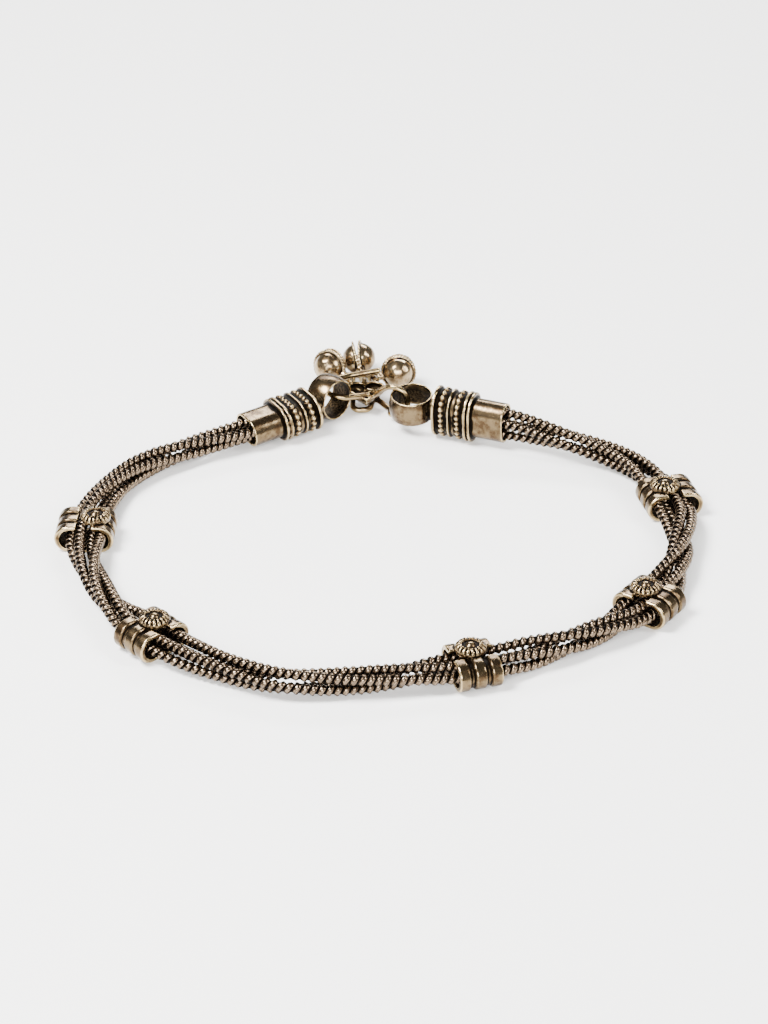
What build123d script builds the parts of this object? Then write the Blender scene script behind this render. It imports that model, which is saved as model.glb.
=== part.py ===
from build123d import *
import os
from math import atan2, cos, pi, radians, sin, sqrt, tan

# A payal anklet lying on a flat surface, clasped into a loop. Millimetres, +Z up.
# The origin is the middle of the loop, on the surface that it lies on.

# Chain: four round strands, spread flat in each slider and twisted together between them.
strand_count = 4
strand_diameter = 1.6
strand_pitch = 1.80  # least distance between two strands' centrelines
strand_phase = 18.4  # degrees; sets the zigzag in which flattened strands lie
flat_spread = 2.45  # half-width of the strands' centrelines in a slider
mouth_spread = 2.0
easing_spread = 1.85
twist_ease = 0.15  # how much slower the twist is beside a slider
twist_spread = strand_pitch / sqrt(2) + 0.13
station_step = 4.6
in_cap = 4.8  # how far a strand reaches into an end cap
mouth_gap = 0.6  # from a cap's mouth to the strands' first station
aim_length = 9.0  # how far inside each cap the route's curve is aimed

# Sliders: ribbed strips folded round the strands, open along the top, with a flower over the gap.
slider_width = 8.8
slider_height = 4.3
slider_bore_width = 7.3
slider_bore_height = 3.1
rib_length = 1.6
rib_gap = 0.75
rib_depth = 0.36
rib_bevel = 0.16
slot_width = 2.3
slider_length = 3 * rib_length + 2 * rib_gap
rib_steps = (-1, 0, 1)
slider_clear = slider_length / 2 + 0.8

flower_diameter = 4.5
flower_height = 1.0
flower_sink = 0.25
flower_rim = 0.35
flower_recess = 2.3
flower_recess_depth = 0.4
boss_diameter = 1.5
boss_rise = 0.05
flower_shoulder = 0.12  # width of the edge between the petals and the recess
petal_arc = 1.35
flute_count = 18
flute_length, flute_width, flute_depth = 1.9, 0.24, 0.5
flute_tilt = 33
flute_drop = 0.25

# End caps: an oval tube, a band with two rows of beads, and a ring.
tube_width, tube_height = 6.6, 4.5
tube_length = 5.2
tube_bore_width, tube_bore_height = 5.9, 3.75
bore_depth = 6.0
core_width, core_height = 7.5, 5.0
band_length = 6.4
bead_diameter = 0.86
bead_pitch = 0.94
bead_start = 0.3  # of a pitch, so that no bead sits on the oval's own seams
seam = 0.15
seam_place = 12.2  # round the tube's outline from the top
solder_lap = 0.2
ring_reach = 4.3  # from the band to the ring's middle
ring_outer, ring_inner, ring_width = 7.2, 6.1, 4.0
ring_bulge = 0.35
neck_width, neck_height, neck_lap = 3.8, 2.6, 0.5

# Clasp: a hollow heart with a hook at each side and an eye for the bells' ring.
wire = 0.95
heart_lobe = 1.85
heart_spread = 1.35
heart_length = 6.5
heart_depth = 1.6
heart_wall = 0.45
heart_middle = (-0.3, 39.4, 3.35)
front_inset = 0.7
eye_outer, eye_wire = 2.9, 0.7
eye_middle = (-0.3, 43.0, 2.25)
hook_radius = 2.85
left_heading = 18
hook_tip = (2.3, 43.2, 4.9)
left_start = (3.4, -0.5)  # along the hook's legs and up, where it is soldered to the heart
left_return = (2.4, 0.35)
right_radius = 0.93 * hook_radius
# Where the right hook's wire leaves the heart, rises over its side and comes back below it to
# its underside, each from the heart's middle.
right_start, right_rise = (0.3, -0.2, 0.1), (1.5, -1.4, 0.35)
right_below, right_end = (3.9, -2.0, -2.5), (1.2, 1.7, -1.9)
right_over, right_under = 0.5, 0.4
# The stay wire, bent below the heart's point and soldered to its underside at both ends.
STAY = ((1.4, 1.2, -1.85), (0.6, -1.3, -2.75), (-2.2, -1.4, -2.75), (-1.9, 1.2, -1.8))

# Bells: two domed cups that open like a clam, on a neck with a loop, and a loose ball inside.
bell_ring_middle, bell_ring_lean = (-0.5, 45.12, 2.1), 0.08
bell_ring_radius, bell_ring_wire = 2.15, 0.85
dome_radius = 2.4
dome_wall = 0.35
brim_radius = 2.75
brim_thickness = 0.34
bell_gape = 5.5  # degrees that each cup leans from the slit
dome_shoulder = (0.75, 0.68)  # a point of the dome's arc, in dome radii out and up
inner_shoulder = (0.72, 0.70)
bell_neck = 4.1  # from the loop's middle to the bell's middle
stem_radius = 0.65
loop_radius, loop_wire = 0.82, 0.55
ball_radius = 1.15
ball_drop = 0.55  # the ball lies this much below the bell's middle

# Each cap: the mouth's middle, its heading in plan, how much it rises towards the ring,
# how far its section is rolled, and how far the ring is bent aside.
CAPS = {
    "end_cap_left": dict(mouth=(-19.6, 29.0, 2.66), heading=27.5, rise=3.5, roll=0.0, bend=17.0),
    "end_cap_right": dict(mouth=(21.0, 25.9, 4.24), heading=154.5, rise=0.0, roll=-85.0, bend=0.0),
}

# The middle of the bundle, from the left cap's mouth round to the right cap's mouth.
# A name in the last column is the slider that sits there.
ROUTE = (
    # x, y, z, slider
    (-19.6, 29.0, 2.66, None),
    (-28.0, 24.6, 2.40, None),
    (-36.0, 19.4, 2.30, None),
    (-41.4, 11.0, 2.30, None),
    (-44.0, 1.5, 2.15, "slider_1"),
    (-43.4, -8.6, 2.30, None),
    (-40.2, -18.6, 2.30, None),
    (-34.2, -27.4, 2.15, "slider_2"),
    (-26.6, -34.9, 2.30, None),
    (-17.4, -40.0, 2.30, None),
    (-7.5, -40.9, 2.30, None),
    (1.5, -39.8, 2.30, None),
    (10.2, -37.8, 2.15, "slider_3"),
    (19.6, -35.2, 2.30, None),
    (29.0, -30.5, 2.30, None),
    (36.8, -23.4, 2.15, "slider_4"),
    (42.0, -14.4, 2.30, None),
    (44.2, -4.4, 2.30, None),
    (43.8, 5.4, 2.15, "slider_5"),
    (40.6, 14.0, 2.30, None),
    (34.6, 19.5, 2.70, None),
    (28.2, 22.6, 3.60, None),
    (21.0, 25.9, 4.24, None),
)
FLOWER_SHIFT = dict(slider_1=1.5, slider_2=0.7, slider_3=0.9, slider_4=0.7, slider_5=0.8)
TWISTS = (180, 180, 180, 180, 180, 85)  # degrees in each stretch between sliders

# Each bell: where on its ring it hangs (degrees round the ring), where its middle lies, and
# which way one dome faces.
BELLS = {
    "bell_1": dict(hung=158, middle=(-5.9, 48.8, 3.2), facing=(-0.60, -0.78, 0.20)),
    "bell_2": dict(hung=95, middle=(-0.7, 51.1, 2.9), facing=(0.86, -0.50, 0.05)),
    "bell_3": dict(hung=25, middle=(5.6, 46.2, 2.95), facing=(-0.45, -0.87, 0.12)),
}


def cap_frame(mouth, heading, rise, roll, bend):
    """The mouth's plane: +Z runs into the cap and +X along the wide side of its section."""
    along = Vector(
        cos(radians(heading)) * cos(radians(rise)),
        sin(radians(heading)) * cos(radians(rise)),
        sin(radians(rise)),
    )
    level = along.cross(Vector(0, 0, 1)).normalized()
    upright = level.cross(along)
    wide = level * cos(radians(roll)) + upright * sin(radians(roll))
    return Plane(origin=mouth, x_dir=wide, z_dir=along)


def save(builder, name):
    builder.part.label = name
    export_step(builder.part, f"parts/{name}.step")
    print(name, "solids", len(builder.part.solids()), "volume", round(builder.part.volume, 2))


def route_samples(steps=24):
    """Points close together on a Catmull-Rom curve through ROUTE, with their distances along it."""
    knots = [Vector(x, y, z) for x, y, z, _ in ROUTE]
    before = knots[0] + frames["end_cap_left"].z_dir * aim_length
    after = knots[-1] + frames["end_cap_right"].z_dir * aim_length
    knots = [before, *knots, after]
    points = []
    for a, b, c, d in zip(knots, knots[1:], knots[2:], knots[3:]):
        for k in range(steps):
            t = k / steps
            points.append(
                b
                + (c - a) * (t / 2)
                + (a * 2 - b * 5 + c * 4 - d) * (t * t / 2)
                + (b * 3 - a - c * 3 + d) * (t * t * t / 2)
            )
    points.append(knots[-2])
    distances = [0.0]
    for a, b in zip(points, points[1:]):
        distances.append(distances[-1] + (b - a).length)
    return points, distances, distances[::steps]


def route_at(distance):
    """The point at this distance along the route, and the way that the route heads there."""
    last = max(k for k in range(len(distances) - 1) if distances[k] <= distance)
    a, b = points[last], points[last + 1]
    part = (distance - distances[last]) / (distances[last + 1] - distances[last])
    return a + (b - a) * part, (b - a).normalized()


def stations():
    """Rows of middle, heading, spread and turn, one for each point of the strands' paths."""
    stops = [0.0]
    stops += [at for at, row in zip(knot_distances, ROUTE) if row[3]]
    stops += [knot_distances[-1]]
    left, right = frames["end_cap_left"], frames["end_cap_right"]
    rows = [(left.origin + left.z_dir * in_cap, left.z_dir * -1, mouth_spread, 0.0)]
    turn = 0.0
    for index, twist in enumerate(TWISTS):
        first, last = index == 0, index == len(TWISTS) - 1
        start = stops[index] + (mouth_gap if first else slider_clear)
        end = stops[index + 1] - (mouth_gap if last else slider_clear)
        runs = round((end - start) / station_step)
        for k in range(runs + 1):
            middle, heading = route_at(start + (end - start) * k / runs)
            part = k / runs
            eased = part - twist_ease * sin(2 * pi * part) / (2 * pi)
            spread = twist_spread
            if k in (1, runs - 1):
                spread = easing_spread
            if k in (0, runs):
                at_mouth = (first and k == 0) or (last and k == runs)
                spread = mouth_spread if at_mouth else flat_spread
            rows.append((middle, heading, spread, turn + twist * eased))
        turn += twist
    rows.append((right.origin + right.z_dir * in_cap, right.z_dir, mouth_spread, turn))
    return rows


def strand_points(index):
    """Corners of one strand's path: its place on a flattened, turned oval at each station."""
    phase = radians(strand_phase + 360 * index / strand_count)
    corners = []
    for middle, heading, spread, turn in stations():
        rise = sqrt((strand_pitch**2 - 0.4 * spread**2) / 1.6)
        u, v = spread * cos(phase), rise * sin(phase)
        c, s = cos(radians(turn)), sin(radians(turn))
        across = Vector(-heading.Y, heading.X, 0).normalized()
        corners.append(middle + across * (u * c - v * s) + Vector(0, 0, u * s + v * c))
    return corners


def bend_radii(corners):
    """The largest tangent arc at each corner: 0.45 of the shorter run beside it."""
    radii = []
    for a, b, c in zip(corners, corners[1:], corners[2:]):
        turned = radians((b - a).get_angle(c - b))
        radii.append(0.45 * min((b - a).length, (c - b).length) / tan(turned / 2))
    return radii


def build_strand(index):
    corners = strand_points(index)
    radii = bend_radii(corners)
    with BuildPart() as strand:
        with BuildLine() as path:
            FilletPolyline(*corners, radius=radii)
        with BuildSketch(Plane(origin=path.line @ 0, z_dir=path.line % 0)):
            Circle(strand_diameter / 2)
        sweep()
    print(f"strand_{index + 1} radii", " ".join(f"{r:.0f}" for r in radii))
    length = path.wires()[0].length
    ideal = length * pi * strand_diameter**2 / 4
    print("length", round(length, 1), "section times length", round(ideal, 1))
    save(strand, f"strand_{index + 1}")


def slider_frame(distance):
    """The section at the slider's middle: +X towards the loop's middle, +Y up, +Z along."""
    middle, _ = route_at(distance)
    span = route_at(distance + 2)[0] - route_at(distance - 2)[0]
    along = Vector(span.X, span.Y, 0).normalized()
    inward = (-along.Y, along.X, 0)
    return Plane(origin=(middle.X, middle.Y, slider_height / 2), x_dir=inward, z_dir=along)


def build_slider(name, frame, shift):
    first = frame.offset(-slider_length / 2)
    with BuildPart() as slider:
        for k in rib_steps:
            middle = k * (rib_length + rib_gap)
            with BuildSketch(frame.offset(middle - rib_length / 2 + rib_bevel)):
                SlotOverall(slider_width, slider_height)
            extrude(amount=rib_length - 2 * rib_bevel)
            for side in (-1, 1):
                with BuildSketch(frame.offset(middle + side * (rib_length / 2 - rib_bevel))):
                    SlotOverall(slider_width, slider_height)
                with BuildSketch(frame.offset(middle + side * rib_length / 2)):
                    SlotOverall(slider_width - 2 * rib_bevel, slider_height - 2 * rib_bevel)
                loft()
        with BuildSketch(first):
            SlotOverall(slider_width - 2 * rib_depth, slider_height - 2 * rib_depth)
        extrude(amount=slider_length)
        with BuildSketch(first):
            SlotOverall(slider_bore_width, slider_bore_height)
            with Locations((0, slider_height / 2)):
                Rectangle(slot_width, slider_height)
        extrude(amount=slider_length, mode=Mode.SUBTRACT)
        add_flower(frame, shift)
    save(slider, name)


def add_flower(frame, shift):
    """A fluted dome with a boss in a recess, set on the ribs' tops."""
    seat = frame.origin + frame.x_dir * shift + Vector(0, 0, slider_height / 2 - flower_sink)
    side = Plane(origin=seat, x_dir=frame.x_dir, z_dir=frame.z_dir)
    radius, inner, boss = flower_diameter / 2, flower_recess / 2, boss_diameter / 2
    shoulder, rim = inner + flower_shoulder, flower_rim + flower_sink
    crown = flower_height + flower_sink
    floor, top = crown - flower_recess_depth, crown + boss_rise
    with BuildSketch(side) as outline:
        with BuildLine():
            Polyline((0, 0), (radius, 0), (radius, rim))
            RadiusArc((radius, rim), (shoulder, crown), -petal_arc)
            Polyline((shoulder, crown), (inner, floor), (boss, floor))
            RadiusArc((boss, floor), (0, top), -(boss**2 + (top - floor) ** 2) / (2 * (top - floor)))
            Line((0, top), (0, 0))
        make_face()
    revolve(outline.sketch, axis=Axis(seat, (0, 0, 1)))
    height = Vector(0, 0, crown - flute_drop)
    level = Plane(origin=seat + height, x_dir=frame.x_dir, z_dir=(0, 0, 1))
    with Locations(level):
        with PolarLocations((radius + inner) / 2, flute_count):
            Box(
                flute_length,
                flute_width,
                flute_depth,
                rotation=(0, flute_tilt, 0),
                mode=Mode.SUBTRACT,
            )


# Ridges of the band, from the tube's end: where each starts, its length and how proud it is.
RIDGES = (
    # start, length, proud
    (0.00, 0.42, 0.40),
    (0.68, 0.46, 0.45),
    (2.08, 0.24, 0.14),
    (3.48, 0.32, 0.36),
    (4.78, 0.24, 0.14),
    (5.94, 0.46, 0.45),
)
BEAD_ROWS = (2.20, 4.90)


def oval_point(section, distance, width, height):
    """A plane that faces out of an oval at this distance along its outline, from its top."""
    straight, radius = width - height, height / 2
    side = 1 if distance < straight + pi * radius else -1
    distance -= 0 if side == 1 else straight + pi * radius
    turned = max(0.0, distance - straight) / radius
    middle = straight / 2 - min(distance, straight)
    outward = (section.y_dir * cos(turned) - section.x_dir * sin(turned)) * side
    spot = section.origin + section.x_dir * middle * side + outward * radius
    return Plane(origin=spot, x_dir=section.z_dir, z_dir=outward)


def build_cap(name):
    frame = frames[name]
    with BuildPart() as cap:
        with BuildSketch(frame):
            SlotOverall(tube_width, tube_height)
        extrude(amount=tube_length + solder_lap)
        with BuildSketch(frame.offset(tube_length)):
            SlotOverall(core_width, core_height)
        extrude(amount=band_length)
        for start, length, proud in RIDGES:
            with BuildSketch(frame.offset(tube_length + start)):
                SlotOverall(core_width + 2 * proud, core_height + 2 * proud)
            extrude(amount=length)
        outline = 2 * (core_width - core_height) + pi * core_height
        beads = round(outline / bead_pitch)
        for row in BEAD_ROWS:
            section = frame.offset(tube_length + row)
            for k in range(beads):
                place = outline * (k + bead_start) / beads
                with Locations(oval_point(section, place, core_width, core_height)):
                    Sphere(bead_diameter / 2)
        with BuildSketch(ring_frames[name].offset(-neck_lap)):
            SlotOverall(neck_width, neck_height)
        extrude(amount=ring_reach - ring_inner / 2 + solder_lap)
        add_ring(ring_frames[name])
        with BuildSketch(frame):
            SlotOverall(tube_bore_width, tube_bore_height)
        extrude(amount=bore_depth, mode=Mode.SUBTRACT)
        groove = Plane(origin=oval_point(frame, seam_place, tube_width, tube_height).origin, z_dir=frame.z_dir)
        with BuildSketch(groove):
            Circle(seam / 2)
        extrude(amount=tube_length, mode=Mode.SUBTRACT)
    save(cap, name)


def add_ring(frame):
    """A short barrel, its hole along the frame's +X."""
    middle = frame.origin + frame.z_dir * ring_reach
    section = Plane(origin=middle, x_dir=frame.x_dir, z_dir=frame.y_dir)
    outward = section.y_dir.dot(frame.z_dir)
    inner, rim = ring_inner / 2 * outward, (ring_outer / 2 - ring_bulge) * outward
    half = ring_width / 2
    with BuildSketch(section) as wall:
        with BuildLine():
            Polyline((-half, rim), (-half, inner), (half, inner), (half, rim))
            ThreePointArc((half, rim), (0, ring_outer / 2 * outward), (-half, rim))
        make_face()
    revolve(wall.sketch, axis=Axis(middle, frame.x_dir))
    start = middle - frame.x_dir * ring_width
    with BuildSketch(Plane(origin=start, x_dir=frame.y_dir, z_dir=frame.x_dir)) as hole:
        Circle(ring_inner / 2)
    extrude(hole.sketch, amount=2 * ring_width, mode=Mode.SUBTRACT)


def heart(shrink=0.0):
    """A heart whose point is towards -Y: two round lobes and the straight sides tangent to them."""
    lobe = heart_lobe - shrink
    top = heart_length / 2 - heart_lobe
    point = -heart_length / 2 + shrink * 1.6
    reach = sqrt(heart_spread**2 + (top - point) ** 2)
    side = sqrt(reach**2 - lobe**2)
    angle = atan2(top - point, heart_spread) - atan2(lobe, side)
    corner_x, corner_y = side * cos(angle), point + side * sin(angle)
    with Locations((heart_spread, top), (-heart_spread, top)):
        Circle(lobe)
    with BuildLine() as sides:
        Polyline(
            (0, point),
            (corner_x, corner_y),
            (heart_spread, top),
            (0, top + lobe * 0.2),
            (-heart_spread, top),
            (-corner_x, corner_y),
            (0, point),
        )
    make_face(sides.edges())


def bend_wire(*corners, radii):
    """A round wire along straight runs and arcs."""
    with BuildLine() as path:
        FilletPolyline(*corners, radius=radii)
    with BuildSketch(Plane(origin=path.line @ 0, z_dir=path.line % 0)) as section:
        Circle(wire / 2)
    sweep(section.sketch, path=path.line)


def far_wall(name):
    """The middle of the ring's wall, where it is furthest from its cap."""
    frame = ring_frames[name]
    return frame.origin + frame.z_dir * (ring_reach + (ring_outer + ring_inner) / 4)


def build_clasp():
    """A hollow heart, open at the top, with both hooks and the eye soldered on."""
    rim = Plane(origin=heart_middle)
    waist, front = rim.offset(-heart_depth * 0.4), rim.offset(-heart_depth)
    with BuildPart() as clasp:
        with BuildSketch(waist):
            heart()
        extrude(amount=heart_depth * 0.4)
        with BuildSketch(waist):
            heart()
        with BuildSketch(front):
            heart(front_inset)
        loft()
        with BuildSketch(waist):
            heart(heart_wall)
        extrude(amount=heart_depth * 0.4, mode=Mode.SUBTRACT)
        with BuildSketch(waist):
            heart(heart_wall)
        with BuildSketch(front.offset(heart_wall)):
            heart(front_inset + heart_wall * 0.8)
        loft(mode=Mode.SUBTRACT)
        with Locations(Plane(origin=eye_middle, z_dir=(1, 0, 0))):
            Torus((eye_outer - eye_wire) / 2, eye_wire / 2)

        wall = far_wall("end_cap_left")
        legs = Vector(cos(radians(left_heading)), sin(radians(left_heading)), 0)
        near = Vector(legs.Y, -legs.X, 0)
        start = legs * left_start[0] + Vector(0, 0, left_start[1])
        back = legs * left_return[0] + Vector(0, 0, left_return[1])
        bend_wire(
            wall + near * hook_radius + start,
            wall + (near - legs) * hook_radius,
            wall - (near + legs) * hook_radius,
            wall - near * hook_radius + back,
            Vector(*hook_tip),
            radii=[hook_radius * 0.97, hook_radius * 0.95, 2.1 * hook_radius],
        )

        wall = far_wall("end_cap_right")
        ring = ring_frames["end_cap_right"]
        up = ring.x_dir if ring.x_dir.Z > 0 else ring.x_dir * -1
        out = ring.z_dir
        bend_wire(
            Vector(*heart_middle) + Vector(*right_start),
            Vector(*heart_middle) + Vector(*right_rise),
            wall + up * right_radius + out * right_over,
            wall + (up - out) * right_radius,
            wall - (up + out) * right_radius,
            wall - up * right_radius + out * right_under,
            Vector(*heart_middle) + Vector(*right_below),
            Vector(*heart_middle) + Vector(*right_end),
            radii=[2 * wire, 1.7 * wire, 0.8 * right_radius, 0.97 * right_radius, wire, 2 * wire],
        )
        stay = [Vector(*heart_middle) + Vector(*corner) for corner in STAY]
        bend_wire(*stay, radii=[1.1 * wire, 1.1 * wire])
    save(clasp, "clasp_hook")


def ring_point(degrees_round):
    """A point of the bells' ring and the way that its wire runs there."""
    angle = radians(degrees_round)
    side = bell_ring.x_dir * cos(angle) + bell_ring.y_dir * sin(angle)
    return bell_ring.origin + side * bell_ring_radius, bell_ring.z_dir.cross(side)


def square_to(vector, other):
    return (vector - other * vector.dot(other)).normalized()


def cup_profile(section, flip):
    """One cup's wall and brim, from the slit's edge at the bottom to the dome's top."""
    rise, brim = dome_radius * flip, brim_thickness * flip
    inner, ceiling = dome_radius - dome_wall, (dome_radius - dome_wall) * flip
    shoulder = (dome_radius * dome_shoulder[0], rise * dome_shoulder[1])
    hollow = (inner * inner_shoulder[0], ceiling * inner_shoulder[1])
    with BuildSketch(section) as profile:
        with BuildLine():
            Polyline((inner, 0), (brim_radius, 0), (brim_radius, brim), (dome_radius, brim))
            ThreePointArc((dome_radius, brim), shoulder, (0, rise))
            Line((0, rise), (0, ceiling))
            ThreePointArc((0, ceiling), hollow, (inner, 0))
        make_face()
    return profile.sketch


def build_bell(name, hung, middle, facing):
    hook, tangent = ring_point(hung)
    down = (Vector(*middle) - hook).normalized()
    middle = hook + down * bell_neck
    face = square_to(Vector(*facing), down)
    hinge = Axis(middle - down * brim_radius, face.cross(down))
    with BuildPart() as bell:
        for side in (1, -1):
            lean = -side * bell_gape
            axis = (face * side).rotate(Axis((0, 0, 0), hinge.direction), lean)
            centre = middle - hinge.position
            centre = hinge.position + centre.rotate(Axis((0, 0, 0), hinge.direction), lean)
            cup = Plane(origin=centre, x_dir=square_to(down, axis), z_dir=axis)
            section = Plane(origin=centre, x_dir=cup.x_dir, z_dir=cup.y_dir)
            flip = section.y_dir.dot(axis)
            revolve(cup_profile(section, flip), axis=Axis(centre, axis))
        start = hook + down * (loop_radius - loop_wire / 5)
        with BuildSketch(Plane(origin=start, z_dir=down)) as stem:
            Circle(stem_radius)
        extrude(stem.sketch, amount=bell_neck - loop_radius - dome_radius + dome_wall)
        with Locations(Plane(origin=hook, x_dir=down, z_dir=square_to(tangent, down))):
            Torus(loop_radius, loop_wire / 2)
    save(bell, name)
    with BuildPart() as ball:
        with Locations(middle - Vector(0, 0, ball_drop)):
            Sphere(ball_radius)
    save(ball, name.replace("bell", "bell_ball"))


def build_bell_ring():
    with BuildPart() as ring:
        with Locations(bell_ring):
            Torus(bell_ring_radius, bell_ring_wire / 2)
    save(ring, "bell_ring")


frames = {name: cap_frame(**row) for name, row in CAPS.items()}
ring_frames = {}
for name, frame in frames.items():
    end = frame.origin + frame.z_dir * (tube_length + band_length)
    turned = radians(CAPS[name]["bend"])
    along = frame.z_dir * cos(turned) + frame.x_dir * -sin(turned)
    wide = frame.x_dir * cos(turned) + frame.z_dir * sin(turned)
    ring_frames[name] = Plane(origin=end, x_dir=wide, z_dir=along)
points, distances, knot_distances = route_samples()
bell_ring = Plane(origin=bell_ring_middle, x_dir=(1, 0, 0), z_dir=(0, bell_ring_lean, 1))

os.makedirs("parts", exist_ok=True)
for index in range(strand_count):
    build_strand(index)
for (_, _, _, name), distance in zip(ROUTE, knot_distances):
    if name:
        build_slider(name, slider_frame(distance), FLOWER_SHIFT[name])
for name in CAPS:
    build_cap(name)
build_clasp()
build_bell_ring()
for name, row in BELLS.items():
    build_bell(name, **row)
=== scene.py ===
import math
import bmesh
import bpy
import numpy as np
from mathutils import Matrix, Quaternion, Vector, noise
from mathutils.bvhtree import BVHTree


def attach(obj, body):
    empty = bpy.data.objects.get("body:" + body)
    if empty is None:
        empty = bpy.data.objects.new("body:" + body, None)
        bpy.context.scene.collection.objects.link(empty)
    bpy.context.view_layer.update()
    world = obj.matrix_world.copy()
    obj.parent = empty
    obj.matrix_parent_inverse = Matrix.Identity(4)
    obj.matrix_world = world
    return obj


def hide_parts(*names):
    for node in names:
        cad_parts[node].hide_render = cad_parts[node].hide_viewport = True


# A payal anklet of oxidised nickel silver, lying clasped on a pale table.
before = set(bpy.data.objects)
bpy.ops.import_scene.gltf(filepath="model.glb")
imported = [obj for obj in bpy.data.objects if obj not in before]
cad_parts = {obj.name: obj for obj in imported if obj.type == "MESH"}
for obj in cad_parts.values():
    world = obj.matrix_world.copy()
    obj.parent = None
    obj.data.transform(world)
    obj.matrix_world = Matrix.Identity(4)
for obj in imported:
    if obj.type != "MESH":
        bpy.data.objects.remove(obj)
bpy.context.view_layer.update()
mm = 0.001
print("frame loaded:", len(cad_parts), "pieces")


def hexColour(code):
    parts = [int(code[k : k + 2], 16) / 255 for k in (1, 3, 5)]
    return [p / 12.92 if p <= 0.04045 else ((p + 0.055) / 1.055) ** 2.4 for p in parts] + [1.0]


def addNode(tree, kind, settings=None, inputs=None):
    node = tree.nodes.new(kind)
    for key, value in (settings or {}).items():
        setattr(node, key, value)
    for key, value in (inputs or {}).items():
        if isinstance(value, bpy.types.NodeSocket):
            tree.links.new(value, node.inputs[key])
        else:
            node.inputs[key].default_value = value
    return node


def perSize(size):
    # texture scale for features of this many millimetres, on object coordinates in metres
    return 1 / (size * mm)


def addObject(name, data):
    piece = bpy.data.objects.new(name, data)
    bpy.context.scene.collection.objects.link(piece)
    return piece


oxidisedSilver = {
    "polishedAndHighlight": "#C8B083",  # bare nickel silver on edges and crests, also laid on as a painted highlight
    "bright": "#6C5C44",  # its broad faces
    "worn": "#463625",  # the same metal with a thin tarnish
    "patinaShadeColour": "#0B0704",  # sulphide left in the recesses, and the painted shade there
    "rubbed": "#8A7558",  # specks inside the rings and sleeves
    "roughness": (0.18, 0.32),
    "pits": 0.5,  # how dark the pits are
    "patinaShadeFrom": 0.12,  # patina and painted shade start to darken recesses here and make them black at the next value
    "patinaShadeTo": 0.42,
}
bellMetal = {
    "polishedAndHighlight": "#C8B488",
    "bright": "#A69272",
    "worn": "#735F45",
    "patinaShadeColour": "#140C06",
    "rubbed": "#8A7354",
    "roughness": (0.14, 0.30),
    "pits": 0.35,
    "patinaShadeFrom": 0.24,
    "patinaShadeTo": 0.56,
}
hookWire = {
    "polishedAndHighlight": "#BEA676",
    "bright": "#917D5A",
    "worn": "#5A4832",
    "patinaShadeColour": "#0C0804",
    "rubbed": "#6E5C44",
    "roughness": (0.16, 0.30),
    "pits": 0.3,
    "patinaShadeFrom": 0.22,
    "patinaShadeTo": 0.52,
}

castSkin = {
    "blotchSize": 1.6,  # tarnish lies in blotches about this wide
    "gritSize": 0.22,  # the casting's grit, drawn coarser than the real 0.05 mm so that it shows
    "speckSize": 0.30,  # bare specks in the hollows
    "unevenness": 0.30,  # how far the grit breaks up the edge of the recess darkening, patina and painted shade
    "darkRoughness": 0.32,  # sulphide is this much rougher than bare metal
    "pitDrop": -1.2,
    "bumpDepth": 0.03,
}


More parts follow.
